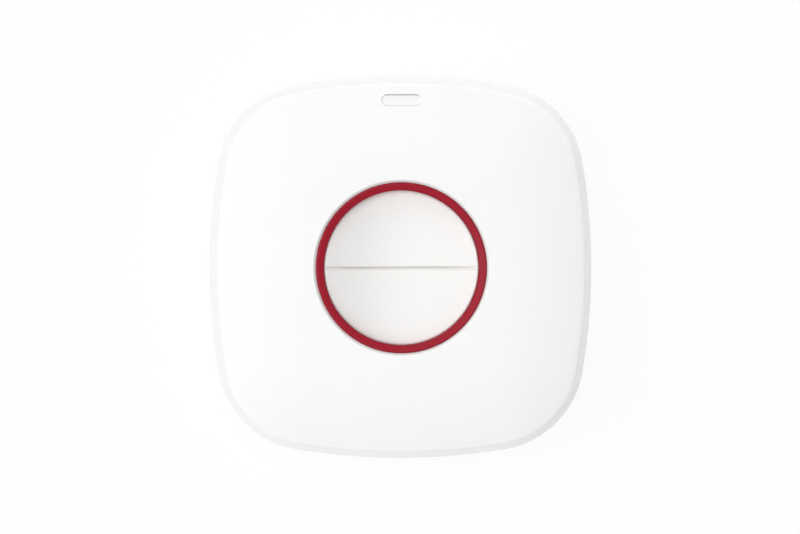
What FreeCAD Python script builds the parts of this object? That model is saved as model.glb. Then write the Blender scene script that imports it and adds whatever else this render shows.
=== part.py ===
import FreeCAD, Part
import math
import os

# Wireless panic button, in millimetres. It lies on its back: +Z points out of its face, +Y points
# to the status light's window, and the origin is the centre of the back face.
# Insets are plan distances inward from the case's widest outline.

V = FreeCAD.Vector
UP = V(0, 0, 1)

# Case form
case_size = 61.0  # across the rounded square, both ways
case_height = 18.0  # back face to the crown of the front cover
side_radius = 100.0  # plan radius of the four bowed sides
corner_radius = 15.0  # plan radius of the four corners
parting_height = 6.5  # height of the widest outline, where the two covers meet
rim_width = 1.28  # plan width of the flared side wall
rim_round = 0.35  # edge between face and side wall
crown_radius = 72.0  # section radius of the domed face
shoulder_radius = 10.0  # tighter section radius beside the rim
shoulder_inset = 2.6  # where the dome passes into the shoulder
wall = 1.4  # both covers
inner_corner = 0.2  # rounding inside the front cover, between roof and wall

# Joint between the covers
reveal = 0.3  # shadow gap under the front cover's edge
reveal_depth = 0.5
joint_gap = 0.12  # tongue to wall, and hook to pocket
tongue_thickness = 0.9
tongue_rise = 1.5
hook_rise = 3.7
hook_bite = 0.5
hook_width = 6.0
hook_offset = 10.0  # the paired hooks stand this far to each side
barb_height = 1.0
barb_face = 0.3  # upright face at the barb's foot

# Rear cover
back_draft = 12.0  # degrees
back_round = 1.6
inner_round = 0.8
screw_spacing = 38.0
wall_screw_radius = 1.9
wall_screw_head_radius = 3.7
wall_boss_radius = 4.6
wall_boss_height = 3.6
notch_width = 9.0
notch_depth = 1.0
notch_height = 1.4
cell_rib_radius = 8.0
cell_rib_thickness = 1.0
cell_rib_gap = 0.15

# Red trim ring
ring_radius = 13.58
ring_inner_radius = 12.34
ring_seat_gap = 0.04  # ring to the cover's bore
ring_drop = 0.3  # how far the ring's top slopes down to its inner edge
ring_round = 0.22
ring_depth = 4.1
bore_bevel_width = 0.42
bore_bevel_depth = 0.4
bore_round = 0.12
flange_radius = 15.0
flange_thickness = 1.0
flange_gap = 0.05
collar_gap = 0.2
collar_thickness = 0.9
collar_depth = 1.4
stake_distance = 17.0
stake_radius = 0.75
stake_head_radius = 1.25
stake_head_height = 0.6
stake_clearance = 0.08
lug_radius = 1.9
tab_half_angle = 7.0  # degrees, the ring's two stops between the buttons
tab_drop = 1.2

# Buttons
button_gap = 0.06  # button to ring
split_gap = 0.08  # between the two buttons
trough_radius = 36.0  # thumb trough across both buttons
button_drop = 0.3  # trough's sides below the ring's inner edge
button_wall = 1.3
button_round = 0.25
button_travel = 0.5
skirt_depth = 4.6
inner_skirt_rise = 1.0  # the skirt is shorter along the split
lip_reach = 0.8
lip_height = 0.8
lip_gap = 0.05
lip_start = 10.0  # degrees from the split
lip_span = 24.0  # degrees
rib_thickness = 0.9
rib_setback = 0.3  # the plunger stands this far proud of the ribs
plunger_radius = 2.4
button_centre = 6.0  # plunger and switch, from the split

# Status light's window
window_inset = 3.8  # the window's centre, from the outline's upper side
window_length = 6.3
window_width = 1.85
window_gap = 0.05
window_recess = 0.25
window_flange = 0.8
window_flange_height = 0.9
guide_length = 2.6
guide_width = 1.2
guide_gap = 0.3

# Coin cell and its holder
cell_radius = 12.25
cell_height = 5.0
cell_cap_radius = 10.8
cell_cap_height = 0.5
cell_bevel = 0.4
cell_floor_gap = 0.9
cell_contact_gap = 0.7
cell_play = 0.05  # cell to the holder's seats, above and below
holder_gap = 0.2
holder_wall = 1.1
holder_flange = 1.05
holder_mouth = 64.0  # degrees of open wall for lifting the cell out
contact_slot = 4.6
nub_reach = 0.65
nub_height = 0.6
nub_span = 16.0  # degrees
nub_directions = (30.0, 150.0, 225.0, 315.0)  # degrees
peg_directions = (60.0, 120.0)  # degrees
peg_radius = 0.6
peg_clearance = 0.1
contact_thickness = 0.3
contact_width = 4.0
contact_foot = 2.6
contact_bend = 0.1
contact_touch = 0.03  # a contact is drawn just clear of the cell
leaf_length = 12.0
leaf_width = 5.0
leaf_thickness = 0.24
leaf_foot = 3.4

# Circuit board and what it carries
board_inset = 3.4
board_thickness = 1.2
board_screw_inset = 7.6  # from the outline's corners
board_hole_radius = 1.15
screw_radius = 1.0
screw_length = 5.6
screw_head_radius = 1.9
screw_head_height = 1.3
screw_head_bevel = 0.4
screw_slot_length = 2.3
screw_slot_width = 0.5
screw_slot_depth = 0.6
pilot_clearance = 0.05
boss_radius = 2.5
gusset_thickness = 1.0
gusset_rise = 1.6
gusset_height = 3.2

switch_size = 6.0
switch_base_height = 3.1
switch_plate_thickness = 0.3
switch_tab_width = 2.4
switch_tab_depth = 1.5
switch_well_radius = 2.5
switch_well_spare = 0.6  # under the stem's foot at full travel
stem_radius = 1.7
stem_clearance = 0.1
stem_share = 0.6  # of the room from switch to button; the plunger fills the rest
stem_bevel = 0.3
stem_collar_radius = 2.25
stem_collar_height = 0.5
stem_foot = 0.25
leg_width = 0.7
leg_reach = 1.1
leg_thickness = 0.25
leg_rise = 1.0
leg_spacing = 4.5

light_size = (2.0, 1.25, 0.8)
light_setback = 0.6  # from the window's centre towards the board's middle
light_resistor = (4.2, -2.0)  # from the light
shield_size = (9.0, 11.0, 2.2)
shield_inset = 8.6  # its centre, from the board's left edge
shield_wall = 0.25
shield_round = 0.6
chip_size = (5.0, 5.0, 0.9)
controller_size = (7.0, 7.0, 1.0)
controller_inset = 8.6  # its centre, from the board's right edge
controller_passives = ((-4.9, 5.4), (-2.1, 6.6), (2.1, 6.6))  # from the controller
dimple_radius = 0.35
dimple_inset = 1.05
dimple_depth = 0.12
crystal_size = (3.2, 2.5, 0.8)
crystal_place = (0.0, -6.6)  # from the controller
crystal_round = 0.4
passive_size = (1.6, 0.8, 0.55)
passive_places = (
    (9.0, -17.2),
    (11.6, -17.2),
    (-3.2, 12.2),
    (-3.2, 15.2),
    (5.8, 13.6),
    (5.8, 15.6),
)

antenna_length = 27.0
antenna_rise = 4.2
antenna_bend = 1.2
antenna_wire_radius = 0.4
antenna_inset = 6.3  # from the outline's lower side

# Heights of the stack, from the back face up
floor_top = wall
cell_bottom = floor_top + cell_floor_gap
cell_top = cell_bottom + cell_height
board_bottom = cell_top + cell_contact_gap
board_top = board_bottom + board_thickness
switch_top = board_top + switch_base_height + switch_plate_thickness
roof_bottom = case_height - wall
ring_bottom = case_height - ring_depth
ring_inner_top = case_height - ring_drop
button_rim = ring_inner_top - button_drop
button_radius = ring_inner_radius - button_gap
button_bottom = button_rim - skirt_depth
lip_top = ring_bottom - lip_gap
bore_radius = ring_radius + ring_seat_gap
trough_centre = button_rim + math.sqrt(trough_radius**2 - button_radius**2)
button_underside = trough_centre - trough_radius - button_wall
stem_top = switch_top + stem_share * (button_underside - switch_top)

# Relations of the outline's arcs
side_reach = side_radius - case_size / 2
arc_gap = side_radius - corner_radius
corner_centre = (math.sqrt(2 * arc_gap**2 - side_reach**2) - side_reach) / 2
side_half_angle = math.degrees(math.atan2(corner_centre, corner_centre + side_reach))
corner_reach = corner_centre * math.sqrt(2) + corner_radius
crown_inset = corner_radius  # the dome turns flat at the corners' centres

# Places that follow the outline
window_offset = case_size / 2 - window_inset
light_offset = window_offset - light_setback
board_half = case_size / 2 - board_inset
shield_x = shield_inset - board_half
controller_x = board_half - controller_inset
antenna_offset = antenna_inset - case_size / 2
board_screw_place = (corner_reach - board_screw_inset) * math.sqrt(0.5)


def polar(distance, angle, height=0.0):
    """Point at a plan distance and an angle in degrees from +X."""
    turn = math.radians(angle)
    return V(distance * math.cos(turn), distance * math.sin(turn), height)


def turned(shape, angle):
    """Copy of a shape, turned about the vertical axis."""
    copy = shape.copy()
    copy.rotate(V(0, 0, 0), UP, angle)
    return copy


def moved(shape, x, y, z=0.0):
    """Copy of a shape, moved."""
    copy = shape.copy()
    copy.translate(V(x, y, z))
    return copy


def joined(shapes):
    """All shapes as one solid, without the seams between coplanar faces."""
    return shapes[0].multiFuse(shapes[1:]).removeSplitter()


def without(shape, cutters):
    """The shape with every cutter taken away."""
    return shape.cut(Part.makeCompound(cutters))


def block(size, x, y, z):
    """Box centred in plan on x, y and standing on height z."""
    return Part.makeBox(size[0], size[1], size[2], V(x - size[0] / 2, y - size[1] / 2, z))


def post(radius, height, x, y, z):
    """Upright cylinder standing on height z."""
    return Part.makeCylinder(radius, height, V(x, y, z))


def tube(inner, outer, bottom, top):
    """Upright tube about the case's axis."""
    return post(outer, top - bottom, 0, 0, bottom).cut(post(inner, top - bottom, 0, 0, bottom))


def loop(corners):
    """Closed wire of straight runs in the XZ plane through (x, z) or (x, z, rounding) corners."""
    points = [V(corner[0], 0, corner[1]) for corner in corners]
    rounds = [corner[2] if len(corner) > 2 else 0.0 for corner in corners]
    count = len(points)
    ends = []
    for i in range(count):
        to_last = (points[i - 1] - points[i]).normalize()
        to_next = (points[(i + 1) % count] - points[i]).normalize()
        half = to_last.getAngle(to_next) / 2
        run = rounds[i] / math.tan(half)
        middle = points[i]
        if rounds[i]:
            bisector = (to_last + to_next).normalize()
            middle = points[i] + bisector * (rounds[i] / math.sin(half) - rounds[i])
        ends.append((points[i] + to_last * run, middle, points[i] + to_next * run))
    edges = []
    for i in range(count):
        start, middle, end = ends[i]
        if rounds[i]:
            edges.append(Part.Arc(start, middle, end).toShape())
        edges.append(Part.makeLine(end, ends[(i + 1) % count][0]))
    return Part.Wire(edges)


def turned_profile(corners, span=360.0):
    """Solid of revolution about the case's axis from a section of (radius, height) corners."""
    return Part.Face(loop(corners)).revolve(V(0, 0, 0), UP, span)


def arc_bar(inner, outer, bottom, top, middle_angle, span):
    """Curved bar about the case's axis, centred on an angle."""
    bar = turned_profile([(inner, bottom), (outer, bottom), (outer, top), (inner, top)], span)
    return turned(bar, middle_angle - span / 2)


def slot_prism(length, width, bottom, top, y):
    """Upright prism with a round-ended plan, long in X."""
    half = (length - width) / 2
    r = width / 2
    edges = [
        Part.makeLine(V(-half, y - r, bottom), V(half, y - r, bottom)),
        Part.Arc(V(half, y - r, bottom), V(half + r, y, bottom), V(half, y + r, bottom)).toShape(),
        Part.makeLine(V(half, y + r, bottom), V(-half, y + r, bottom)),
        Part.Arc(V(-half, y + r, bottom), V(-half - r, y, bottom), V(-half, y - r, bottom)).toShape(),
    ]
    return Part.Face(Part.Wire(edges)).extrude(V(0, 0, top - bottom))


# The case's outline and what follows it


def outline_arcs():
    """Centre, radius, first angle and span of the eight tangent arcs, from the +X side round."""
    arcs = []
    for quarter in range(4):
        base = 90.0 * quarter
        side = polar(-side_reach, base)
        corner = polar(math.hypot(corner_centre, corner_centre), base + 45.0)
        arcs.append((side, side_radius, base - side_half_angle, 2 * side_half_angle))
        arcs.append((corner, corner_radius, base + side_half_angle, 90.0 - 2 * side_half_angle))
    return arcs


def plate(inset, bottom, top):
    """Flat plate with the case's outline, set in."""
    edges = []
    for centre, radius, start, span in outline_arcs():
        if radius > inset:
            middle = centre + V(0, 0, bottom)
            edges.append(Part.makeCircle(radius - inset, middle, UP, start, start + span))
    return Part.Face(Part.Wire(edges)).extrude(V(0, 0, top - bottom))


def carried(section, arc, start, span):
    """Section face, drawn at x = -inset, carried along one of the outline's arcs."""
    centre, radius = arc[0], arc[1]
    face = section.copy()
    face.translate(V(radius, 0, 0))
    face.rotate(V(0, 0, 0), UP, start)
    face.translate(centre)
    return face.revolve(centre, UP, span)


def carried_round(section, bottom, top):
    """Section carried round the whole outline, with a flat plate filling its middle."""
    pieces = [carried(section, arc, arc[2], arc[3]) for arc in outline_arcs()]
    return joined(pieces + [plate(crown_inset, bottom, top)])


def side_bar(section, quarter, offset, width):
    """Section carried along a short stretch of one side, centred at an offset along it."""
    arc = outline_arcs()[2 * quarter]
    middle = math.degrees(math.asin(offset / side_radius))
    span = math.degrees(width / side_radius)
    return carried(section, arc, 90.0 * quarter + middle - span / 2, span)


def leaning(radius, angle):
    """Vector in the section plane that leans outward from vertical by an angle in radians."""
    return V(radius * math.sin(angle), 0, radius * math.cos(angle))


# The face's section: crown arc, shoulder arc, rounded edge and straight side wall
crown_turn = math.asin((crown_inset - shoulder_inset) / crown_radius)
crown_point = V(-crown_inset, 0, case_height - crown_radius)
shoulder_point = crown_point + leaning(crown_radius - shoulder_radius, crown_turn)
edge_turn = math.asin((-rim_width - shoulder_point.x) / shoulder_radius)
edge_height = shoulder_point.z + shoulder_radius * math.cos(edge_turn)
side_run = V(-rim_width, 0, edge_height - parting_height).normalize()
side_normal = V(side_run.z, 0, -side_run.x)
side_foot = V(0, 0, parting_height)


def side_point(depth, height):
    """Point of the side wall's section line, set in by a depth, at a height."""
    base = side_foot - side_normal * depth
    return base + side_run * ((height - base.z) / side_run.z)


def skin(depth, rounding, bottom):
    """Section edges of the front cover's skin, set in by a depth, from the crown down."""
    base = side_foot - side_normal * (depth + rounding)
    reach = shoulder_radius - depth - rounding
    offset = base - shoulder_point
    along = offset.dot(side_run)
    climb = math.sqrt(along**2 - offset.dot(offset) + reach**2) - along
    centre = base + side_run * climb
    spoke = (centre - shoulder_point).normalize()
    last_turn = math.atan2(spoke.x, spoke.z)
    start = crown_point + leaning(crown_radius - depth, 0)
    change = crown_point + leaning(crown_radius - depth, crown_turn)
    crown_middle = crown_point + leaning(crown_radius - depth, crown_turn / 2)
    shoulder_middle = shoulder_point + leaning(shoulder_radius - depth, (crown_turn + last_turn) / 2)
    edge_start = centre + spoke * rounding
    edge_end = centre + side_normal * rounding
    edge_middle = centre + (spoke + side_normal).normalize() * rounding
    return [
        Part.Arc(start, crown_middle, change).toShape(),
        Part.Arc(change, shoulder_middle, edge_start).toShape(),
        Part.Arc(edge_start, edge_middle, edge_end).toShape(),
        Part.makeLine(edge_end, side_point(depth, bottom)),
    ]


def filled_form(depth, rounding, bottom):
    """Everything inside the front cover's skin, set in by a depth."""
    edges = skin(depth, rounding, bottom)
    top = case_height - depth
    foot = side_point(depth, bottom)
    edges.append(Part.makeLine(foot, V(-crown_inset, 0, bottom)))
    edges.append(Part.makeLine(V(-crown_inset, 0, bottom), V(-crown_inset, 0, top)))
    section = Part.Face(Part.Wire(edges))
    return carried_round(section, bottom, top)


def hook_places():
    """Quarter and offset of each snap hook: pairs at top and bottom, one on each flank."""
    return [(0, 0.0), (2, 0.0), (1, -hook_offset), (1, hook_offset), (3, -hook_offset), (3, hook_offset)]


def hook_levels():
    """Heights of the barb's foot and tip."""
    tip = parting_height + hook_rise
    return tip - barb_height, tip


def corner_places(distance):
    """The four places at a distance from both centre lines."""
    return [(x * distance, y * distance) for x in (-1, 1) for y in (-1, 1)]


# Front cover


def cover_pockets():
    """Pockets inside the wall that the rear cover's hooks snap into."""
    foot, tip = hook_levels()
    inner = wall + joint_gap
    outer = wall - hook_bite - joint_gap
    low = foot - joint_gap
    high = tip + joint_gap
    ends = [(inner, low), (outer, low), (outer, high), (inner, high)]
    corners = [side_point(depth, height) for depth, height in ends]
    section = Part.Face(loop([(point.x, point.z) for point in corners]))
    width = hook_width + 2 * joint_gap
    return [side_bar(section, quarter, offset, width) for quarter, offset in hook_places()]


def cover_bosses():
    """Screw bosses for the board, each with a gusset out to its corner."""
    pieces = []
    height = case_height - board_top
    for x, y in corner_places(board_screw_place):
        pieces.append(post(boss_radius, height, x, y, board_top))
        angle = math.degrees(math.atan2(y, x))
        gusset = Part.makeBox(case_size / 2, gusset_thickness, gusset_height)
        gusset.translate(V(math.hypot(x, y), -gusset_thickness / 2, board_top + gusset_rise))
        pieces.append(turned(gusset, angle))
    return pieces


def pilot_holes():
    """Holes for the board's screws."""
    depth = screw_length - board_thickness + screw_radius
    radius = screw_radius + pilot_clearance
    return [post(radius, depth, x, y, board_top) for x, y in corner_places(board_screw_place)]


def lug_angles():
    """Directions of the ring's four lugs and the cover's stakes."""
    return [45.0 + 90.0 * quarter for quarter in range(4)]


def cover_collar():
    """Rib round the ring's flange, open where the lugs pass."""
    inner = flange_radius + collar_gap
    collar = tube(inner, inner + collar_thickness, roof_bottom - collar_depth, case_height)
    gap = block((2 * case_size, 2 * (lug_radius + collar_gap), case_height), 0, 0, 0)
    return without(collar, [turned(gap, 45.0), turned(gap, 135.0)])


def cover_stakes():
    """Heat stakes through the ring's lugs, with their spread heads."""
    head_top = roof_bottom - flange_gap - flange_thickness - flange_gap
    head_bottom = head_top - stake_head_height
    pieces = []
    for angle in lug_angles():
        place = polar(stake_distance, angle)
        pieces.append(post(stake_radius, case_height - head_top, place.x, place.y, head_top))
        pieces.append(post(stake_head_radius, stake_head_height, place.x, place.y, head_bottom))
    return pieces


def window_slot(clearance):
    """Round-ended prism of the window's opening, less a clearance all round."""
    length = window_length - 2 * clearance
    width = window_width - 2 * clearance
    return slot_prism(length, width, parting_height, case_height, window_offset)


def front_cover():
    """White domed cover: a shell of even wall with the ring's bore, the window's slot and its fixings."""
    outside = filled_form(0.0, rim_round, parting_height)
    inside = filled_form(wall, inner_corner, parting_height)
    limit = filled_form(wall / 2, rim_round, parting_height)
    shell = outside.cut(inside)
    fittings = joined(cover_bosses() + [cover_collar()] + cover_stakes())
    cover = joined([shell, fittings.common(limit)])
    bore = post(bore_radius, case_height, 0, 0, parting_height)
    bevel_foot = case_height - bore_bevel_depth
    mouth_radius = bore_radius + bore_bevel_width
    mouth = [(0.0, bevel_foot), (bore_radius, bevel_foot), (mouth_radius, case_height), (0.0, case_height)]
    openings = [bore, turned_profile(mouth), window_slot(0.0)]
    cover = without(cover, openings + cover_pockets() + pilot_holes())
    rims = [edge for edge in cover.Edges if is_circle_at(edge, mouth_radius, case_height)]
    return cover.makeFillet(bore_round, rims)


def is_circle_at(edge, radius, height):
    """Whether an edge lies on the circle of a radius about the case's axis, at a height."""
    if edge.Degenerated or not isinstance(edge.Curve, Part.Circle):
        return False
    centre = edge.Curve.Center
    here = abs(centre.z - height) < 1e-4 and math.hypot(centre.x, centre.y) < 1e-4
    return here and abs(edge.Curve.Radius - radius) < 1e-4


# Rear cover


def back_point(depth, height):
    """X of the rear cover's side line, set in by a depth, at a height."""
    lean = math.radians(back_draft)
    return -(parting_height - reveal - height) * math.tan(lean) - depth / math.cos(lean)


def rear_section():
    """Section of the rear cover's floor, side wall, seat and tongue."""
    near = wall + joint_gap
    far = near + tongue_thickness
    tip = parting_height + tongue_rise
    shelf = parting_height - tongue_rise
    floor_turn = V(back_point(wall, floor_top), 0, floor_top)
    tongue_foot = side_point(far, parting_height).x
    shelf_drop = tongue_foot - back_point(wall, shelf)
    corners = [
        (0.0, parting_height - reveal),
        (-reveal_depth, parting_height - reveal),
        (-reveal_depth, parting_height),
        (side_point(near, parting_height).x, parting_height),
        (side_point(near, tip).x, tip),
        (side_point(far, tip).x, tip),
        (tongue_foot, parting_height),
        (tongue_foot, shelf),
        (back_point(wall, shelf - abs(shelf_drop)), shelf - abs(shelf_drop)),
        (floor_turn.x, floor_top, inner_round),
        (-crown_inset, floor_top),
        (-crown_inset, 0.0),
        (back_point(0.0, 0.0), 0.0, back_round),
    ]
    return Part.Face(loop(corners))


def hook_section():
    """Section of a snap hook: the tongue carried up, with a barb that leans into its pocket."""
    near = wall + joint_gap
    far = near + tongue_thickness
    foot, tip = hook_levels()
    low = parting_height - tongue_rise / 2
    corners = [
        side_point(near, low),
        side_point(near, foot),
        side_point(wall - hook_bite, foot),
        side_point(wall - hook_bite, foot + barb_face),
        side_point(near, tip),
        side_point(far, tip),
        side_point(far, low),
    ]
    return Part.Face(loop([(point.x, point.z) for point in corners]))


def wall_screw_places():
    """The two wall screws, in a line across the case."""
    return [(-screw_spacing / 2, 0.0), (screw_spacing / 2, 0.0)]


def rear_cover():
    """Shallow tray that clips into the front cover and carries the wall-screw holes."""
    tray = carried_round(rear_section(), 0.0, floor_top)
    pieces = [tray]
    cuts = []
    for quarter, offset in hook_places():
        pieces.append(side_bar(hook_section(), quarter, offset, hook_width))
    rib_outer = cell_rib_radius + cell_rib_thickness
    pieces.append(tube(cell_rib_radius, rib_outer, floor_top / 2, cell_bottom - cell_rib_gap))
    sink = wall_screw_head_radius - wall_screw_radius
    for x, y in wall_screw_places():
        pieces.append(post(wall_boss_radius, wall_boss_height - floor_top / 2, x, y, floor_top / 2))
        cuts.append(post(wall_screw_radius, wall_boss_height, x, y, 0))
        foot = V(x, y, wall_boss_height - sink)
        cuts.append(Part.makeCone(wall_screw_radius, wall_screw_head_radius, sink, foot))
    notch = (notch_width, 2 * notch_depth, notch_height)
    cuts.append(block(notch, 0, -case_size / 2, parting_height - reveal - notch_height))
    return without(joined(pieces), cuts)


# Trim ring and buttons


def red_ring():
    """Trim ring: a sleeve round the buttons, with a flange and lugs under the cover's roof."""
    flange_top = roof_bottom - flange_gap
    flange_bottom = flange_top - flange_thickness
    corners = [
        (ring_inner_radius, ring_bottom),
        (ring_radius, ring_bottom),
        (ring_radius, flange_bottom),
        (flange_radius, flange_bottom),
        (flange_radius, flange_top),
        (ring_radius, flange_top),
        (ring_radius, case_height, ring_round),
        (ring_inner_radius, ring_inner_top, ring_round),
    ]
    pieces = [turned_profile(corners)]
    holes = []
    for angle in lug_angles():
        place = polar(stake_distance, angle)
        arm = Part.makeBox(stake_distance - ring_radius, 2 * lug_radius, flange_thickness)
        arm.translate(V(ring_radius, -lug_radius, flange_bottom))
        pieces.append(turned(arm, angle))
        pieces.append(post(lug_radius, flange_thickness, place.x, place.y, flange_bottom))
        hole_radius = stake_radius + stake_clearance
        holes.append(post(hole_radius, flange_thickness, place.x, place.y, flange_bottom))
    for angle in (0.0, 180.0):
        low = ring_bottom - tab_drop
        pieces.append(arc_bar(ring_inner_radius, ring_radius, low, ring_bottom, angle, 2 * tab_half_angle))
    return without(joined(pieces), holes)


def button_form(depth, bottom):
    """Half-disc block under the thumb trough, with its faces set in by a depth."""
    radius = button_radius - depth
    disc = post(radius, trough_centre - bottom, 0, 0, bottom)
    trough = Part.makeCylinder(trough_radius + depth, 2 * radius, V(0, -radius, trough_centre), V(0, 1, 0))
    edge = split_gap / 2 + depth
    side = Part.makeBox(2 * radius, radius, case_height, V(-radius, edge, 0))
    return disc.cut(trough).common(side)


def is_trough(face):
    """Whether a face is the one pressed: a cylinder's that lies along the Y axis."""
    return isinstance(face.Surface, Part.Cylinder) and abs(face.Surface.Axis.y) > 0.5


def button_lips():
    """Snap lips that catch under the ring, clear of its two stops."""
    inner = button_radius - button_wall
    outer = button_radius + lip_reach
    bottom = lip_top - lip_height
    middle = lip_start + lip_span / 2
    return [arc_bar(inner, outer, bottom, lip_top, angle, lip_span) for angle in (middle, 180.0 - middle)]


def button_ribs():
    """Cross of stiffening ribs and the plunger over the switch's stem."""
    foot = stem_top + rib_setback
    along = block((2 * button_radius, rib_thickness, case_height), 0, button_centre, foot)
    across = block((rib_thickness, 2 * button_radius, case_height), 0, 0, foot)
    plunger = post(plunger_radius, case_height, 0, button_centre, stem_top)
    return [along, across, plunger]


def button():
    """Upper half-moon key, moulded with its skirt, lips, ribs and plunger."""
    outside = button_form(0.0, button_bottom)
    trough = [edge for face in outside.Faces if is_trough(face) for edge in face.Edges]
    outside = outside.makeFillet(button_round, trough)
    hollow = button_form(button_wall, button_bottom)
    limit = button_form(button_wall / 2, button_bottom)
    shell = outside.cut(hollow)
    trim = block((2 * (button_radius - button_wall), 4 * button_wall, inner_skirt_rise), 0, 0, button_bottom)
    shell = shell.cut(trim)
    ribs = joined(button_ribs()).common(limit)
    return joined([shell, ribs] + button_lips())


# Status light's window


def indicator_window():
    """Frosted window sunk in its slot, with a flange under the roof and a guide to the light."""
    slot = window_slot(window_gap)
    lens = slot.common(filled_form(window_recess, rim_round, parting_height))
    under = case_height - crown_drop(case_size / 2 - window_offset) - wall
    flange_bottom = under - window_flange_height
    upper = post_above(slot, flange_bottom).common(lens)
    depth = window_width / 2 + window_flange
    shelf = Part.makeBox(window_length + 2 * window_flange, depth, case_height - flange_bottom)
    shelf.translate(V(-window_length / 2 - window_flange, window_offset - depth, flange_bottom))
    shelf = shelf.common(filled_form(wall + window_gap, inner_corner, parting_height))
    guide_bottom = board_top + light_size[2] + guide_gap
    guide = block((guide_length, guide_width, flange_bottom - guide_bottom), 0, light_offset, guide_bottom)
    return joined([upper, shelf, guide])


def post_above(shape, height):
    """The stretch of an upright shape above a height."""
    return shape.common(block((case_size, case_size, case_height), 0, 0, height))


def crown_drop(inset):
    """How far the dome has dropped from its crown at an inset."""
    run = crown_inset - inset
    return crown_radius - math.sqrt(crown_radius**2 - run**2)


# Cell, holder and contacts


def coin_cell():
    """Button-shaped lithium cell, its wide terminal towards the rear cover."""
    shoulder = cell_top - cell_cap_height
    corners = [
        (0.0, cell_bottom),
        (cell_radius - cell_bevel, cell_bottom),
        (cell_radius, cell_bottom + cell_bevel),
        (cell_radius, shoulder - cell_bevel),
        (cell_radius - cell_bevel, shoulder),
        (cell_cap_radius, shoulder),
        (cell_cap_radius, cell_top),
        (0.0, cell_top),
    ]
    return turned_profile(corners)


def battery_holder():
    """Ring-shaped holder under the board, open at one side and snapped round the cell."""
    inner = cell_radius + holder_gap
    outer = inner + holder_wall
    shoulder = cell_top - cell_cap_height + cell_play
    stop_inner = inner - holder_flange
    nub_top = cell_bottom - cell_play
    nub_bottom = nub_top - nub_height
    corners = [
        (inner, nub_bottom),
        (outer, nub_bottom),
        (outer, board_bottom),
        (stop_inner, board_bottom),
        (stop_inner, shoulder),
        (inner, shoulder),
    ]
    ring = turned_profile(corners)
    mouth = arc_bar(stop_inner / 2, 2 * outer, 0, shoulder, 270.0, holder_mouth)
    slot = block((2 * outer, contact_slot, board_bottom), -outer, 0, 0)
    pieces = [without(ring, [mouth, slot])]
    for angle in nub_directions:
        pieces.append(arc_bar(inner - nub_reach, outer, nub_bottom, nub_top, angle, nub_span))
    middle = (inner + outer) / 2
    for angle in peg_directions:
        place = polar(middle, angle)
        pieces.append(post(peg_radius, board_thickness, place.x, place.y, board_bottom))
    return joined(pieces)


def strip(corners, width):
    """Folded strip from a section of (x, z) corners, centred on the X axis."""
    return moved(Part.Face(loop(corners)).extrude(V(0, width, 0)), 0, -width / 2)


def positive_contact():
    """Folded strip from the board down the cell's edge."""
    near = -(cell_radius + contact_touch)
    far = near - contact_thickness
    top = board_bottom
    low = cell_bottom + cell_bevel
    corners = [
        (near, low),
        (near, top, contact_bend),
        (far - contact_foot, top),
        (far - contact_foot, top - contact_thickness),
        (far, top - contact_thickness, contact_bend),
        (far, low),
    ]
    return strip(corners, contact_width)


def negative_contact():
    """Sprung leaf between the board and the cell's cap."""
    low = cell_top + contact_touch
    high = board_bottom
    thick = leaf_thickness
    start = -leaf_length / 2
    foot_end = start + leaf_foot
    end = leaf_length / 2
    touch = end - leaf_foot / 2
    corners = [
        (start, high),
        (foot_end, high, thick),
        (touch, low + thick, thick),
        (end, low + 2 * thick - contact_touch),
        (end, low + thick - contact_touch),
        (touch, low, thick),
        (foot_end, high - thick, thick),
        (start, high - thick),
    ]
    return strip(corners, leaf_width)


# Circuit board and its components


def circuit_board():
    """Board that follows the case's outline, with its screw holes and the holder's peg holes."""
    board = plate(board_inset, board_bottom, board_top)
    holes = []
    for x, y in corner_places(board_screw_place):
        holes.append(post(board_hole_radius, board_thickness, x, y, board_bottom))
    middle = cell_radius + holder_gap + holder_wall / 2
    for angle in peg_directions:
        place = polar(middle, angle)
        radius = peg_radius + peg_clearance
        holes.append(post(radius, board_thickness, place.x, place.y, board_bottom))
    return without(board, holes)


def board_screws():
    """Four pan-head screws that hold the board up to the cover's bosses."""
    screws = []
    for x, y in corner_places(board_screw_place):
        head_bottom = board_bottom - screw_head_height
        head = post(screw_head_radius, screw_head_height, x, y, head_bottom)
        lower = [edge for edge in head.Edges if abs(edge.CenterOfMass.z - head_bottom) < 1e-6]
        head = head.makeChamfer(screw_head_bevel, lower)
        shank = post(screw_radius, screw_length, x, y, board_bottom)
        drive = (screw_slot_length, screw_slot_width, screw_slot_depth)
        cross = [block(drive, x, y, head_bottom), block((drive[1], drive[0], drive[2]), x, y, head_bottom)]
        screws.append(without(joined([head, shank]), cross))
    return Part.makeCompound(screws)


def switch_base():
    """Moulded switch base with the stem's well and its four bent legs."""
    body = block((switch_size, switch_size, switch_base_height), 0, button_centre, board_top)
    well_bottom = stem_foot_level() - button_travel - switch_well_spare
    well = post(switch_well_radius, switch_base_height, 0, button_centre, well_bottom)
    pieces = [body.cut(well)]
    reach = switch_size / 2 + leg_reach
    for side in (-1, 1):
        for offset in (-leg_spacing / 2, leg_spacing / 2):
            y = button_centre + offset
            foot = (leg_reach + leg_thickness, leg_width, leg_thickness)
            pieces.append(block(foot, side * (reach - foot[0] / 2), y, board_top))
            riser = (leg_thickness, leg_width, leg_rise)
            x = side * (switch_size / 2 + leg_thickness / 2)
            pieces.append(block(riser, x, y, board_top))
    return joined(pieces)


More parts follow.
